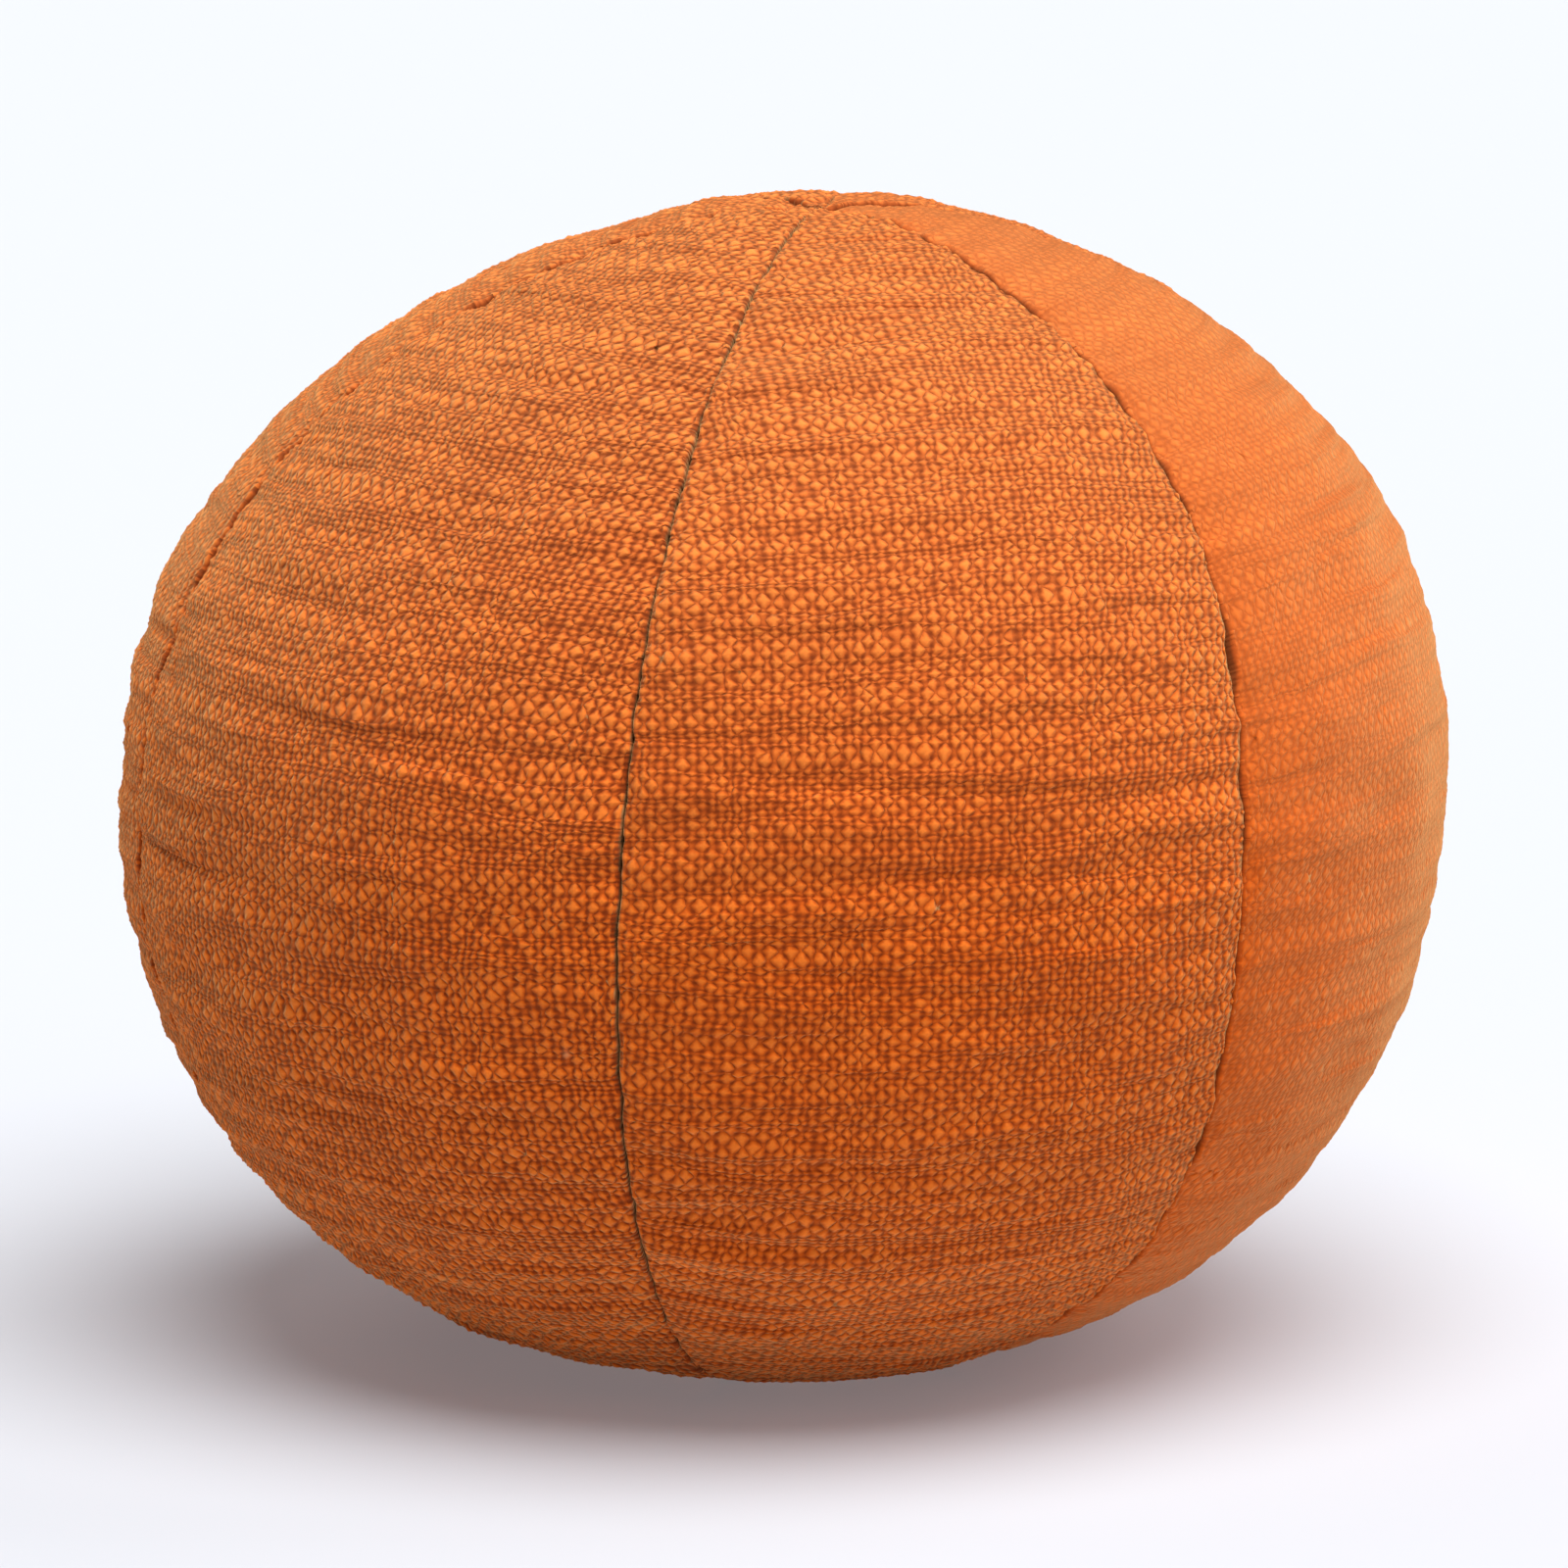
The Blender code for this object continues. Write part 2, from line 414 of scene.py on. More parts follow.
def ripples(points, spacing, seed, waves=9):
    """Smooth waves in space, the same for every gore, about 1 high and so far apart."""
    dice = np.random.default_rng(seed)
    total = np.zeros(points.shape[:-1])
    for wave in range(waves):
        direction = dice.normal(size=3)
        direction /= np.linalg.norm(direction)
        length = spacing * dice.uniform(0.7, 1.5)
        total += np.sin(2 * pi * (points @ direction) / length + dice.uniform(0, 2 * pi))
    return total / np.sqrt(waves)


def blurred_noise(dice, shape, reaches):
    """Smooth random field of spread 1, with lumps about so many rows and columns long."""
    field = dice.normal(size=shape)
    for axis, reach in enumerate(reaches):
        offsets = np.arange(-int(3 * reach) - 1, int(3 * reach) + 2)
        weights = bell(offsets, 1.4 * reach)
        field = np.apply_along_axis(np.convolve, axis, field, weights, mode="same")
    return (field - field.mean()) / field.std()


def doubled(field):
    """A value for each crossing, spread to the half steps between them by averaging."""
    rows, columns = field.shape
    fine = np.zeros((2 * rows - 1, 2 * columns - 1))
    fine[::2, ::2] = field
    fine[::2, 1::2] = (field[:, 1:] + field[:, :-1]) / 2
    fine[1::2] = (fine[2::2] + fine[:-1:2]) / 2
    return fine


def weft_thickness(dice, rows, columns):
    """Thickness of the slub weft at each crossing, 1 on average."""
    shape = (rows, columns)
    from_row_to_row = ROW_CHANCE * dice.normal(size=(rows, 1))
    streaks = STREAK_CHANCE * blurred_noise(dice, shape, (0.3, 5))
    chance = CROSSING_CHANCE * dice.normal(size=shape)
    thickness = PLAIN_THICKNESS + from_row_to_row + streaks + chance
    for slub in range(rows * columns // CROSSINGS_TO_A_SLUB):
        row = dice.integers(rows)
        place = np.arange(columns) - dice.uniform(0, columns)
        thickness[row] += dice.uniform(*SLUB_SWELL) * bell(place, dice.uniform(*SLUB_REACH))
    return np.clip(thickness / thickness.mean(), *THICKNESS_RANGE)


def pushed_rows(thickness):
    """How far each row is pushed along by its thick neighbours, in rows."""
    fade = 3.5
    offsets = np.arange(-14, 15)
    push = 0.5 * np.sign(offsets) * np.exp(-np.abs(offsets) / fade)
    return np.apply_along_axis(np.convolve, 0, thickness - 1, push, mode="same")


def weft_is_over(shape):
    """Whether the weft lies over the warp at each crossing, as a checkerboard."""
    row, column = np.mgrid[0:shape[0], 0:shape[1]]
    return (row + column) % 2 == 0


def between_crossings(field, wanted):
    """The field at the wanted crossings, and the mean of the four neighbours at the others."""
    around = np.pad(field, 1, mode="edge")
    mean = (around[:-2, 1:-1] + around[2:, 1:-1] + around[1:-1, :-2] + around[1:-1, 2:]) / 4
    return np.where(wanted, field, mean)


def woven_relief(dice, thickness):
    """Relief of the face, in nub heights, as four fields with two steps to a thread.

    The first two are smooth: how high the weft's nubs are, and the warp's knuckles. The third is the
    mesh's share of them: whole at the crossings, a part of the higher one between, and pits at the
    corners. The fourth is the ribs along the rows, with deeper gaps between some warp threads.
    """
    shape = thickness.shape
    over = weft_is_over(shape)
    nub = (FLAT_NUB + (1 - FLAT_NUB) * thickness) * (1 + NUB_CHANCE * dice.normal(size=shape))
    knuckle = KNUCKLE_HEIGHT - KNUCKLE_HIDDEN * thickness + KNUCKLE_CHANCE * dice.normal(size=shape)
    nub = doubled(between_crossings(nub, over))
    knuckle = doubled(between_crossings(np.maximum(knuckle, 0.05), ~over))
    face = np.maximum(nub, knuckle)
    face[::2, 1::2] *= BETWEEN_WARPS
    face[1::2, ::2] *= BETWEEN_WEFTS
    face[::2, ::2] = np.where(over, nub[::2, ::2], knuckle[::2, ::2])
    face[1::2, 1::2] = 0.0
    ribs = blurred_noise(dice, shape, (0.8, 6)) + blurred_noise(dice, shape, (2.2, 5))
    ribs = FACE_CHANCE * dice.normal(size=face.shape) + RIB_SHARE * doubled(ribs)
    ribs[:, 1::2] -= OPEN_GAP * np.abs(dice.normal(size=(1, shape[1] - 1)))
    return nub, knuckle, NUB_SHARE * (face - MEAN_HEIGHT), ribs


def thread_places(dice, thickness):
    """Row and column of each crossing and of the half steps between, which thick nubs push aside."""
    shape = thickness.shape
    wavering = WEFT_WAVER * blurred_noise(dice, shape, (4, 8)) + WEFT_CHANCE * dice.normal(size=shape)
    weft = doubled(np.arange(shape[0])[:, None] + pushed_rows(thickness) + wavering)
    wavering = WARP_WAVER * blurred_noise(dice, shape, (9, 2)) + WARP_CHANCE * dice.normal(size=shape)
    warp = doubled(np.arange(shape[1])[None, :] - shape[1] // 2 + wavering)
    spread = NUB_SPREAD * thickness * np.where(weft_is_over(shape), 1, -1)
    warp[::2, 1::2] += spread[:, :-1]
    weft[1::2, ::2] += 0.7 * spread[:-1]
    weft[1::2] += 0.25 * np.diff(-doubled(thickness)[::2], axis=0)
    weft[0], weft[-1] = 0, shape[0] - 1
    return weft, warp


def dyed_tone(dice, shape):
    """How light each thread is dyed, 1 on average, at each crossing and half way between."""
    weft = 1 + THREAD_TONE * dice.normal(size=(shape[0], 1))
    weft = weft + STREAK_TONE * blurred_noise(dice, shape, (0.8, 5))
    warp = 1 + THREAD_TONE * dice.normal(size=(1, shape[1])) + np.zeros(shape)
    return doubled(np.where(weft_is_over(shape), weft, warp))


def centre_line():
    """Latitudes up a gore's middle, and the length from the bottom pole to each."""
    latitude = np.linspace(-pi / 2, pi / 2, 6001)
    radius, height = ring(latitude)
    steps = np.hypot(np.diff(radius), np.diff(np.maximum(height, rest_level())))
    return latitude, np.concatenate(([0.0], np.cumsum(steps)))


def gape(index, side, latitude):
    """How far a gore's edge draws back from its seam."""
    seam = (index + (side > 0)) % len(GORES)
    drawn = np.zeros_like(latitude)
    for place in table(GAPE_COLUMNS, GAPES):
        if place["seam"] == seam:
            height = ring(latitude)[1] - rest_level()
            drawn += place["width"] * bell(height - place["height"], place["reach"])
    return drawn


def cut_at_seams(fields):
    """Draws the columns past a gore's shoulder together on the first of them, to be merged later."""
    place, width = fields["place"], fields["width"]
    shoulder = np.maximum(width - ROLL, NARROW_FACE * width)
    past = np.abs(place) > shoulder - TO_SHOULDER * WARP_PITCH
    middle = place.shape[1] // 2
    past[:, middle] = False
    first_right = middle + np.argmax(past[:, middle:], axis=1)
    first_left = middle - np.argmax(past[:, middle::-1], axis=1)
    numbers = np.arange(place.shape[1])[None, :]
    kept = np.clip(numbers, first_left[:, None], first_right[:, None])
    fields["place"] = np.where(past, np.sign(place) * shoulder, place)
    return {name: np.take_along_axis(field, kept, axis=1) for name, field in fields.items()}


def turn_edges_in(fields):
    """Adds the columns of the turned edges outside the others."""
    edge = len(TURNED_EDGE)
    beside = ((0, 0), (edge, edge))
    fields = {name: np.pad(field, beside, mode="edge") for name, field in fields.items()}
    fields["depth"] = np.zeros_like(fields["place"])
    for number, turn in enumerate(table(EDGE_COLUMNS, TURNED_EDGE)):
        for side, column in ((-1, edge - 1 - number), (1, number - edge)):
            width = fields["width"][:, column]
            from_middle = np.maximum(width - turn["to_seam"] * ROLL, (1 - turn["to_seam"]) * width)
            fields["place"][:, column] = side * from_middle
            fields["depth"][:, column] = turn["depth"] * ROLL
            fields["relief"][:, column] *= turn["kept"]
            fields["ribs"][:, column] *= turn["kept"]
    return fields


def thread_lattice(index, dice):
    """Rows and columns of points on the gore, two to a thread, as fields of their places and heights.

    A field has a row from pole to pole and a column from the left seam to the right one.
    """
    latitudes, lengths = centre_line()
    rows = int(lengths[-1] / WEFT_PITCH)
    reach = int(half_width(index, latitudes).max() / WARP_PITCH) + 2
    thickness = weft_thickness(dice, rows, 2 * reach + 1)
    nub, knuckle, relief, ribs = woven_relief(dice, thickness)
    tone = dyed_tone(dice, thickness.shape)
    along, across = np.mgrid[0:relief.shape[0], 0:relief.shape[1]] / 2
    weft, warp = thread_places(dice, thickness)
    latitude = np.interp(np.clip(weft / (rows - 1), 0, 1) * lengths[-1], lengths, latitudes)
    fields = {"place": warp * WARP_PITCH, "latitude": latitude, "width": half_width(index, latitude),
              "tone": tone, "nub": nub, "knuckle": knuckle, "relief": relief, "ribs": ribs,
              "across_threads": across, "along_threads": along}
    fields = turn_edges_in(cut_at_seams(fields))
    fields["across"] = np.clip(fields["place"] / np.maximum(fields["width"], WELD), -1, 1)
    dip = ROW_DIP * np.sin(2 * fields["latitude"])
    fields["latitude"] = fields["latitude"] - dip * fields["across"] ** 2
    return fields


def face_points(index, fields, tree):
    """The gore's cloth face in space: laid on the skin, drawn in at the seams, with its weave."""
    across, latitude = fields["across"], fields["latitude"]
    width = half_width(index, latitude)
    plain_points = on_ball(index, across, latitude)[0]
    slack = SEAM_SLACK * np.maximum(ripples(plain_points, SLACK_SPACING, SEED + 4), 0)
    for side in (-1, 1):
        drawn = (slack + gape(index, side, latitude)) * bell(width * (1 - side * across), 2.5 * ROLL)
        across = across - side * drawn / np.maximum(width, MM)
    points, normals = on_ball(index, across, latitude)
    height = points[..., 2]
    radius = ring(latitude)[0]
    to_seam = width * (1 - np.abs(across))
    pucker = 1 + PUCKER * ripples(points, PUCKER_SPACING, SEED + 1)
    open_seam = np.where(latitude > 0, np.clip(radius / SEAM_FADE, 0, 1) ** 1.5, 1.0)
    valley = SEAM_DEPTH * pucker * bell(to_seam, SEAM_REACH) * open_seam
    near_top = bell(radius, CRINKLE_REACH) * (latitude > 0)
    out = skin_offset(tree, points, normals) * np.clip(height / FOOT_FADE, 0, 1)
    out += LUMP_HEIGHT * ripples(points, LUMP_SPACING, SEED + 2)
    out += CRINKLE * near_top * ripples(points, CRINKLE_SPACING, SEED + 3)
    out -= TOP_DIMPLE * bell(radius, TOP_DIMPLE_REACH) * (latitude > 0)
    nubby = GORES[index][NUBBY]
    woven = nubby * fields["relief"] + nubby ** RIB_FADE * fields["ribs"]
    out += NUB_HEIGHT * woven - valley - fields["depth"]
    for knot in table(KNOT_COLUMNS, KNOTS):
        distance = np.linalg.norm(points - spot(knot["angle"], knot["height"]), axis=-1)
        out += knot["raise"] * bell(distance, knot["reach"])
    points = points + normals * out[..., None]
    points[..., 2] = np.maximum(points[..., 2], 0.0)
    return points


def axis_column(latitude):
    """Points on the middle axis that the walls reach from the seams."""
    end = np.where(latitude > 0, RISE, -rest_level())
    height = AXIS_SHARE * end * np.sin(latitude)
    return around_axis(0.0 * height, 0.0, height)


def fleck_tint(points):
    tint = np.zeros(points.shape[:-1])
    for fleck in table(FLECK_COLUMNS, FLECKS):
        distance = np.linalg.norm(points - spot(fleck["angle"], fleck["height"]), axis=-1)
        tint += fleck["tint"] * bell(distance, fleck["reach"])
    return tint


def with_axis(field):
    return np.pad(field, ((0, 0), (1, 1)), mode="edge")


def store(mesh, name, values):
    attribute = mesh.attributes.new(name, "FLOAT", "POINT")
    attribute.data.foreach_set("value", values.astype(np.float32))


def split_from_crossings(grid, rows, columns):
    """Splits each face of the flat grid from its crossing to its pit, so that the nubs are round."""
    centres = np.empty(len(grid.data.polygons) * 3)
    grid.data.polygons.foreach_get("center", centres)
    centres = centres.reshape(-1, 3)
    column = np.floor((centres[:, 0] + 1) / 2 * (columns - 1)).astype(int) - len(TURNED_EDGE) - 1
    row = np.floor((centres[:, 1] + 1) / 2 * (rows - 1)).astype(int)
    make_active(grid)
    bpy.context.tool_settings.mesh_select_mode = (False, False, True)
    grid.data.polygons.foreach_set("select", (row + column) % 2 == 0)
    bpy.ops.object.mode_set(mode="EDIT")
    bpy.ops.mesh.quads_convert_to_tris(quad_method="FIXED")
    bpy.ops.mesh.select_all(action="SELECT")
    bpy.ops.mesh.quads_convert_to_tris(quad_method="FIXED_ALTERNATE")
    bpy.ops.object.mode_set(mode="OBJECT")


def grid_places(mesh, rows, columns):
    """Row and column of each point of a flat grid that is 2 wide and 2 high."""
    flat = coordinates(mesh)
    column = np.rint((flat[:, 0] + 1) / 2 * (columns - 1)).astype(int)
    row = np.rint((flat[:, 1] + 1) / 2 * (rows - 1)).astype(int)
    return row, column


def store_threads(mesh, fields, tint, nubby, places):
    """Keeps what the material reads: the size of the nubs, the tones, and the threads as a UV map."""
    shown = np.clip(1 - fields["depth"] / ROLL, 0, 1)
    # Where the cloth turns into a seam its nubs sink to the ramp's darkest colour, which adds painted
    # shade there.
    values = {"nub": fields["nub"] * shown, "knuckle": fields["knuckle"] * shown, "shown": shown,
              "nubby": 0 * shown + nubby, "tone": fields["tone"], "fleck": tint}
    for name, field in values.items():
        store(mesh, name, with_axis(field)[places])
    threads = [with_axis(fields[name])[places] for name in ("across_threads", "along_threads")]
    corners = np.empty(len(mesh.loops), dtype=int)
    mesh.loops.foreach_get("vertex_index", corners)
    mesh.uv_layers[0].name = "threads"
    flat_map = np.stack(threads, -1)[corners].astype(np.float32)
    mesh.uv_layers[0].data.foreach_set("uv", flat_map.ravel())


def sewn_gore(index, name, tree):
    """One gore: a flat grid of cloth, laid on the ball, with its edges turned in to the middle axis."""
    fields = thread_lattice(index, np.random.default_rng(SEED + 10 * index))
    face = face_points(index, fields, tree)
    rows, columns = face.shape[0], face.shape[1] + 2
    axis = axis_column(fields["latitude"][:, :1])
    points = np.concatenate((axis, face, axis), axis=1)
    half_angle = (seam_angle(index + 1, 0.0) - seam_angle(index, 0.0)) / 2
    middle = seam_angle(index, 0.0) + half_angle
    points += np.array((sin(middle), -cos(middle), 0.0)) * PIECE_GAP / 2 / sin(half_angle)

    deselect_all()
    bpy.ops.mesh.primitive_grid_add(x_subdivisions=columns - 1, y_subdivisions=rows - 1, size=2)
    gore = bpy.context.object
    gore.name = name
    gore.data.name = name
    places = grid_places(gore.data, rows, columns)
    split_from_crossings(gore, rows, columns)
    set_coordinates(gore.data, points[places])
    store_threads(gore.data, fields, fleck_tint(face), GORES[index][NUBBY], places)

    bpy.ops.object.mode_set(mode="EDIT")
    bpy.ops.mesh.select_all(action="SELECT")
    bpy.ops.mesh.remove_doubles(threshold=WELD)
    bpy.ops.mesh.normals_make_consistent(inside=False)
    bpy.ops.object.mode_set(mode="OBJECT")
    bpy.ops.object.shade_smooth()
    return gore


def linear(code):
    """Linear colour of an sRGB hex code."""
    values = [int(code[at:at + 2], 16) / 255 for at in (1, 3, 5)]
    return [v / 12.92 if v <= 0.04045 else ((v + 0.055) / 1.055) ** 2.4 for v in values] + [1.0]


def add(tree, kind, sockets=None, **settings):
    """Adds a node with its settings. A socket takes a value, another node's output, or a node."""
    node = tree.nodes.new(kind)
    for name, value in settings.items():
        setattr(node, name, value)
    for name, value in (sockets or {}).items():
        if isinstance(value, bpy.types.Node):
            value = value.outputs[0]
        if isinstance(value, bpy.types.NodeSocket):
            tree.links.new(value, node.inputs[name])
        else:
            node.inputs[name].default_value = value
    return node


def set_ramp(ramp, stops):
    while len(ramp.elements) < len(stops):
        ramp.elements.new(0.5)
    for element, (position, code) in zip(ramp.elements, stops):
        element.position = position
        element.color = linear(code)


def round_domes(tree, threads, name, shift):
    """Heights of the weft's nubs or the warp's knuckles, which lie at every second crossing each.

    Turned by an eighth and shrunk, such places are a square lattice with a step of 1. The cells of
    a Voronoi pattern follow it, a little out of line, and each carries one round dome.
    """
    middle = shift + CELL_SCATTER / 2
    shrunk = 0.5 ** 0.5
    lattice = add(tree, "ShaderNodeMapping", {
        "Vector": threads, "Location": (middle, middle, 0), "Rotation": (0, 0, pi / 4),
        "Scale": (shrunk, shrunk, 1)})
    cells = add(tree, "ShaderNodeTexVoronoi", {
        "Vector": lattice, "Scale": 1.0, "Randomness": CELL_SCATTER}, voronoi_dimensions="2D")
    offset = add(tree, "ShaderNodeVectorMath", {
        0: lattice, 1: cells.outputs["Position"]}, operation="SUBTRACT")
    across_face = add(tree, "ShaderNodeMapping", {
        "Vector": offset, "Rotation": (0, 0, pi / 4),
        "Scale": (shrunk / WARP_PITCH, shrunk / WEFT_PITCH, 1)}, vector_type="TEXTURE")
    distance = add(tree, "ShaderNodeVectorMath", {0: across_face}, operation="LENGTH").outputs["Value"]
    chance = add(tree, "ShaderNodeMapRange", {
        "Value": cells.outputs["Color"], "To Min": 1 - SIZE_CHANCE, "To Max": 1 + SIZE_CHANCE})
    even_size = add(tree, "ShaderNodeAttribute", attribute_name=name).outputs["Fac"]
    size = add(tree, "ShaderNodeMath", {0: even_size, 1: chance}, operation="MULTIPLY")
    grown = add(tree, "ShaderNodeMath", {
        0: size, 1: NUB_GROWTH, 2: NUB_RADIUS}, operation="MULTIPLY_ADD")
    radius = add(tree, "ShaderNodeMath", {0: grown, 1: WIDEST_NUB}, operation="MINIMUM")
    outward = add(tree, "ShaderNodeMath", {0: distance, 1: radius}, operation="DIVIDE")
    fall = add(tree, "ShaderNodeMath", {0: outward, 1: 2.0}, operation="POWER")
    dome = add(tree, "ShaderNodeMath", {0: 1.0, 1: fall}, operation="SUBTRACT", use_clamp=True)
    soft_dome = add(tree, "ShaderNodeMath", {0: dome, 1: SOFT_RIM}, operation="POWER")
    peak = add(tree, "ShaderNodeMath", {0: size, 1: TALLEST_NUB}, operation="MINIMUM")
    return add(tree, "ShaderNodeMath", {0: soft_dome, 1: peak}, operation="MULTIPLY")


def woven_height(tree, threads):
    """Height of the cloth's face: nubs and knuckles over threads with a pit at each corner between."""
    nubs = round_domes(tree, threads, "nub", 0.0)
    knuckles = round_domes(tree, threads, "knuckle", 0.5)
    domes = add(tree, "ShaderNodeMath", {0: nubs, 1: knuckles}, operation="MAXIMUM")
    split = add(tree, "ShaderNodeSeparateXYZ", {"Vector": threads}).outputs
    ridges = []
    for axis in "XY":
        turn = add(tree, "ShaderNodeMath", {0: split[axis], 1: pi}, operation="MULTIPLY")
        wave = add(tree, "ShaderNodeMath", {0: turn}, operation="COSINE")
        ridges.append(add(tree, "ShaderNodeMath", {0: wave, 1: wave}, operation="MULTIPLY"))
    both = add(tree, "ShaderNodeMath", {0: ridges[0], 1: ridges[1]}, operation="ADD")
    base = add(tree, "ShaderNodeMath", {0: both, 1: THREAD_SHARE / 2}, operation="MULTIPLY")
    whole = add(tree, "ShaderNodeMath", {
        0: domes, 1: 1 - THREAD_SHARE, 2: base}, operation="MULTIPLY_ADD")
    nubby = add(tree, "ShaderNodeAttribute", attribute_name="nubby").outputs["Fac"]
    from_middle = add(tree, "ShaderNodeMath", {0: whole, 1: MIDDLE_SHADE}, operation="SUBTRACT")
    return add(tree, "ShaderNodeMath", {
        0: from_middle, 1: nubby, 2: MIDDLE_SHADE}, operation="MULTIPLY_ADD")


def dyed_colour(tree, height, place, fuzz):
    """Colour of the dye: painted light on the nubs and painted shade in the pits, uneven from thread to
    thread and in patches, paler and lighter towards the top as painted light, with the flecks of other
    fibre over it."""
    # The ramp paints shade into the pits and light onto the nub tops, over the orange of the dye.
    ramp = add(tree, "ShaderNodeValToRGB", {"Fac": height})
    set_ramp(ramp.color_ramp, DYE_AND_PAINTED_PIT_SHADE)
    patches = add(tree, "ShaderNodeTexNoise", {"Vector": place, "Scale": 1 / PATCH_SIZE, "Detail": 2.0})
    tones = [add(tree, "ShaderNodeAttribute", attribute_name="tone").outputs["Fac"]]
    for field, spread in ((patches, PATCH_TONE), (fuzz, FIBRE_TONE)):
        tones.append(add(tree, "ShaderNodeMapRange", {
            "Value": field.outputs["Fac"], "To Min": 1 - spread, "To Max": 1 + spread}))
    # Painted shade: the cloth turned into a seam is darkened, as if shadowed in its crevice.
    shown = add(tree, "ShaderNodeAttribute", attribute_name="shown").outputs["Fac"]
    tones.append(add(tree, "ShaderNodeMapRange", {"Value": shown, "To Min": IN_SEAM_PAINTED_SHADE, "To Max": 1.0}))
    level = add(tree, "ShaderNodeSeparateXYZ", {"Vector": place}).outputs["Z"]
    # Painted light: the cloth is drawn paler and lighter towards the top, as if lit from above.
    hue, strength, lightness = (add(tree, "ShaderNodeMapRange", {
        "Value": level, "From Min": PAINTED_TOP_LIGHT_FROM, "From Max": PAINTED_TOP_LIGHT_TO, "To Min": whole, "To Max": painted_top})
        for whole, painted_top in PAINTED_TOP_LIGHT)
    tones.append(lightness)
    light = tones[0]
    for tone in tones[1:]:
        light = add(tree, "ShaderNodeMath", {0: light, 1: tone}, operation="MULTIPLY")
    colour = add(tree, "ShaderNodeHueSaturation", {
        "Color": ramp.outputs["Color"], "Hue": hue, "Saturation": strength, "Value": light})
    fleck = add(tree, "ShaderNodeAttribute", attribute_name="fleck").outputs["Fac"]
    for sign, code in ((1.0, PALE_FIBRE), (-1.0, DARK_FIBRE)):
        share = add(tree, "ShaderNodeMath", {0: fleck, 1: sign}, operation="MULTIPLY", use_clamp=True)
        colour = add(tree, "ShaderNodeMixRGB", {"Fac": share, "Color1": colour, "Color2": linear(code)})
    return colour


def piece_dyed_slub_cotton():
    """Loosely spun cotton, woven plain and dyed in the piece. It is matt, its raised nubs are painted
    lighter and its pits painted darker, and the loose fibre on its face goes pale at a grazing angle."""
    material = bpy.data.materials.new("piece_dyed_slub_cotton")
    material.use_nodes = True
    tree = material.node_tree
    shader = tree.nodes["Principled BSDF"]
    place = add(tree, "ShaderNodeTexCoord").outputs["Object"]
    threads = add(tree, "ShaderNodeUVMap", uv_map="threads").outputs["UV"]
    height = woven_height(tree, threads)
    fuzz = add(tree, "ShaderNodeTexNoise", {"Vector": place, "Scale": 1 / FIBRE_LOOP, "Detail": 3.0})
    colour = dyed_colour(tree, height, place, fuzz)

    # The yarn's twist: its fibres cross each thread at a slant, with loose loops among them.
    slant = add(tree, "ShaderNodeMapping", {"Vector": threads, "Rotation": (0, 0, TWIST_SLANT)})
    twist = add(tree, "ShaderNodeTexWave", {
        "Vector": slant, "Scale": 0.6, "Distortion": 2.0, "Detail": 2.0, "Detail Scale": 2.0})
    fibres = add(tree, "ShaderNodeMath", {
        0: twist.outputs["Fac"], 1: fuzz.outputs["Fac"]}, operation="ADD")
    fibre_bump = add(tree, "ShaderNodeBump", {
        "Strength": 0.5, "Distance": FIBRE_HEIGHT, "Height": fibres})
    bump = add(tree, "ShaderNodeBump", {
        "Strength": 1.0, "Distance": NUB_HEIGHT, "Height": height, "Normal": fibre_bump})
    tree.links.new(colour.outputs["Color"], shader.inputs["Base Color"])
    tree.links.new(bump.outputs["Normal"], shader.inputs["Normal"])
    shader.inputs["Roughness"].default_value = 0.95
    shader.inputs["Specular IOR Level"].default_value = 0.08
    shader.inputs["Sheen Weight"].default_value = 0.6
    shader.inputs["Sheen Roughness"].default_value = 0.5
    shader.inputs["Sheen Tint"].default_value = linear("#FFD890")
    return material


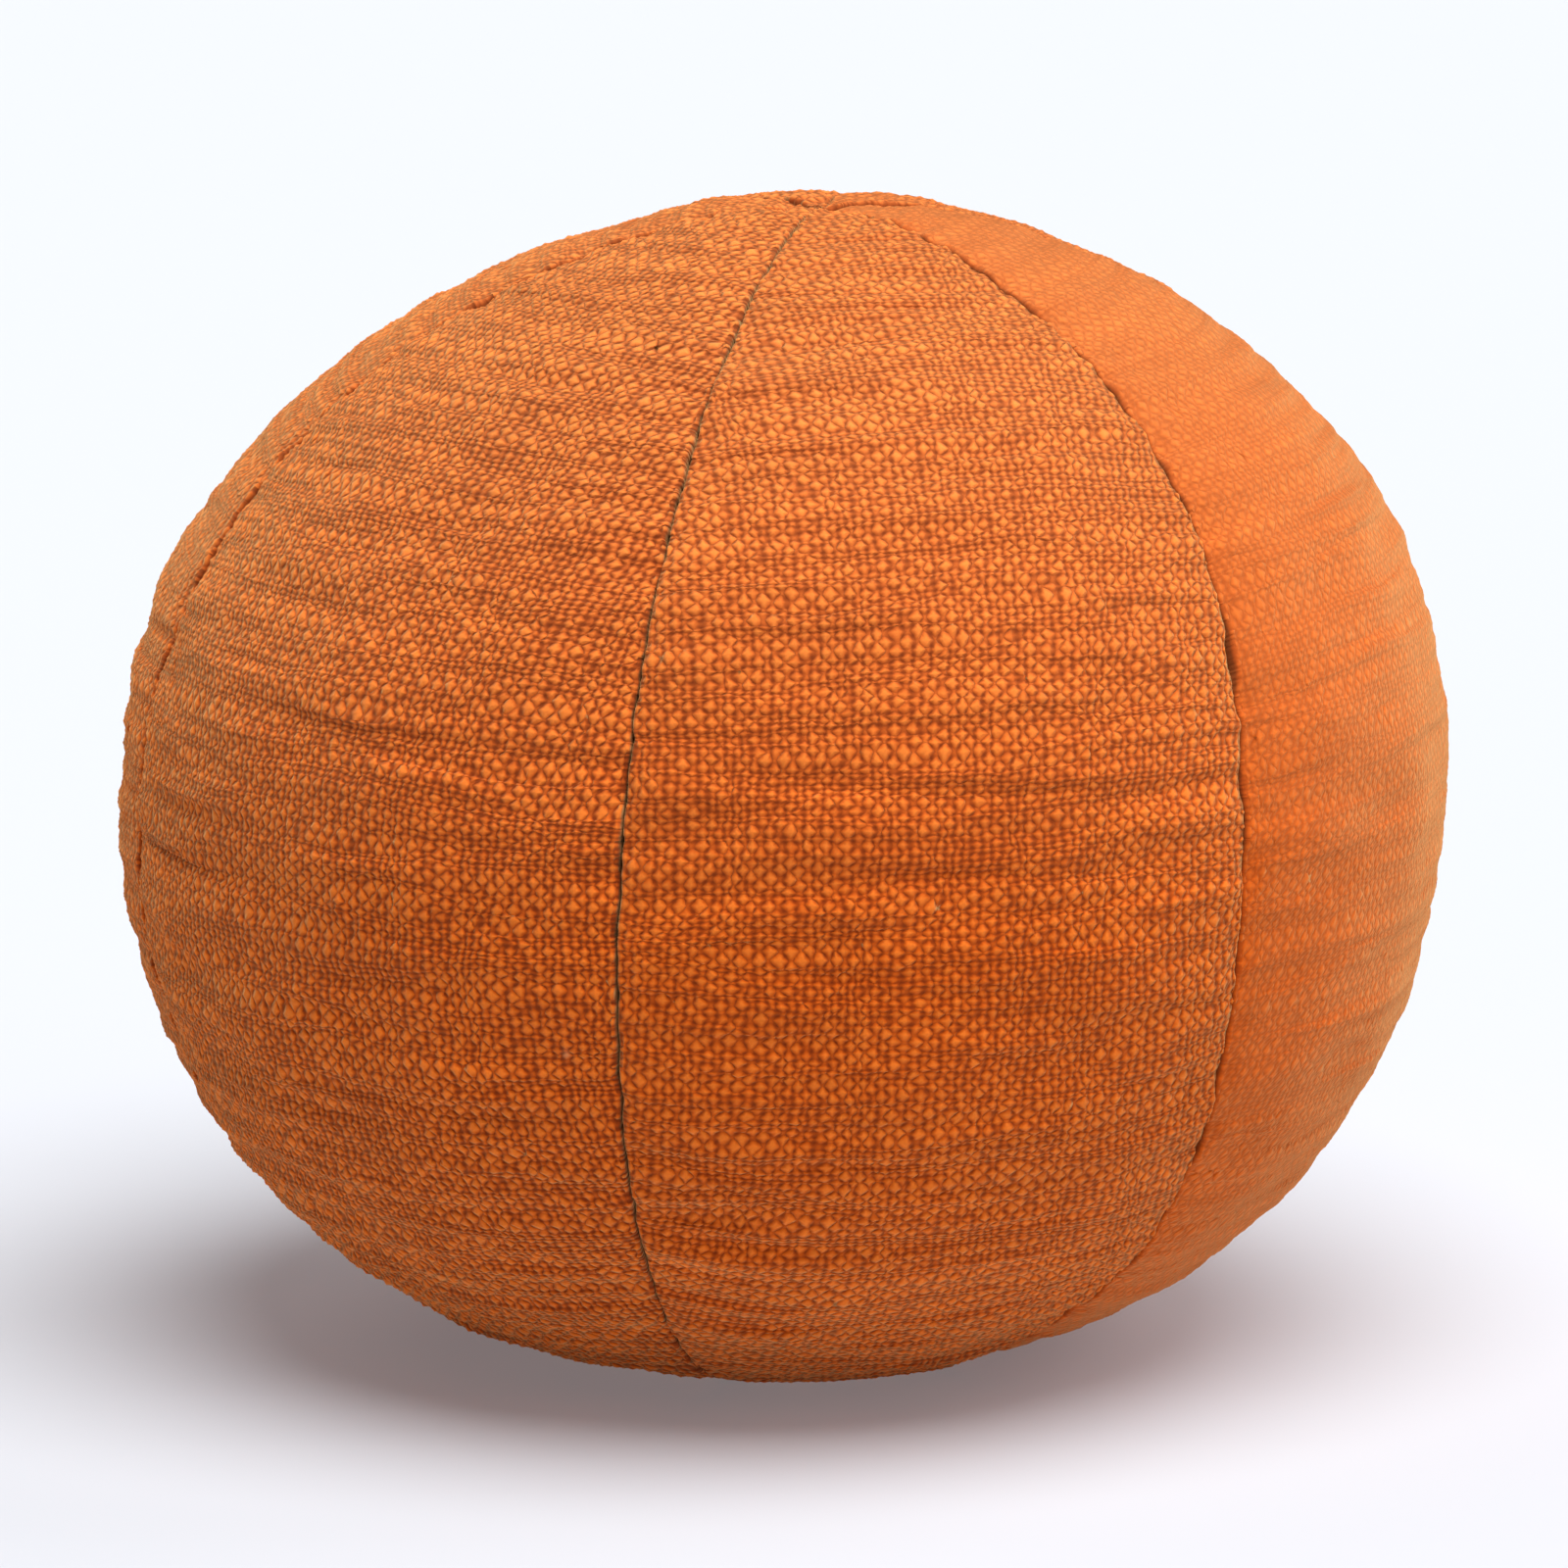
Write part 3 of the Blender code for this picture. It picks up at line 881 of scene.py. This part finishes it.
def opal_table_top():
    """Opal acrylic of a studio table, lit a little from below: matt, white and without a pattern. The
    light through it keeps the pillow's shadow soft."""
    material = bpy.data.materials.new("matt_opal_acrylic_sheet")
    material.use_nodes = True
    shader = material.node_tree.nodes["Principled BSDF"]
    shader.inputs["Base Color"].default_value = linear("#C6C9CF")
    shader.inputs["Roughness"].default_value = 0.9
    shader.inputs["Specular IOR Level"].default_value = 0.1
    shader.inputs["Emission Color"].default_value = linear("#F6F9FF")
    shader.inputs["Emission Strength"].default_value = 0.16
    return material


def make_floor():
    deselect_all()
    bpy.ops.mesh.primitive_plane_add(size=24)
    floor = bpy.context.object
    floor.name = "floor"
    floor.data.materials.append(opal_table_top())


def aim(item, target):
    item.rotation_euler = (Vector(target) - item.location).to_track_quat("-Z", "Y").to_euler()


def make_lights():
    for row in table(LIGHT_COLUMNS, LIGHTS):
        lamp = bpy.data.lights.new(row["name"], "SUN")
        lamp.angle = radians(row["width"])
        lamp.energy = row["strength"]
        light = bpy.data.objects.new(row["name"], lamp)
        bpy.context.scene.collection.objects.link(light)
        azimuth, elevation = radians(row["azimuth"]), radians(row["elevation"])
        away = Vector((cos(elevation) * sin(azimuth), -cos(elevation) * cos(azimuth), sin(elevation)))
        light.location = VIEW_AIM + away * LIGHT_DISTANCE
        aim(light, VIEW_AIM)
    world = bpy.data.worlds.new("studio")
    bpy.context.scene.world = world
    world.use_nodes = True
    background = world.node_tree.nodes["Background"]
    background.inputs["Color"].default_value = linear(WORLD_COLOUR)
    background.inputs["Strength"].default_value = WORLD_STRENGTH


def make_camera():
    lens = bpy.data.cameras.new("camera")
    lens.lens = LENS_MM
    lens.sensor_width = SENSOR_MM
    camera = bpy.data.objects.new("camera", lens)
    bpy.context.scene.collection.objects.link(camera)
    away = Vector((0.0, -cos(VIEW_ELEVATION), sin(VIEW_ELEVATION)))
    camera.location = VIEW_AIM + away * VIEW_DISTANCE
    aim(camera, VIEW_AIM)
    bpy.context.scene.camera = camera


def main():
    make_camera()
    skin = stuffed_skin()
    tree = BVHTree.FromObject(skin, bpy.context.evaluated_depsgraph_get())
    cloth = piece_dyed_slub_cotton()
    for index, row in enumerate(table(GORE_COLUMNS, GORES)):
        gore = sewn_gore(index, row["piece"], tree)
        gore.data.materials.append(cloth)
        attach(gore, "root")
        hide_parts(row["node"])
    bpy.data.objects.remove(skin)
    make_floor()
    make_lights()
    bpy.context.scene.view_settings.view_transform = "Standard"


main()
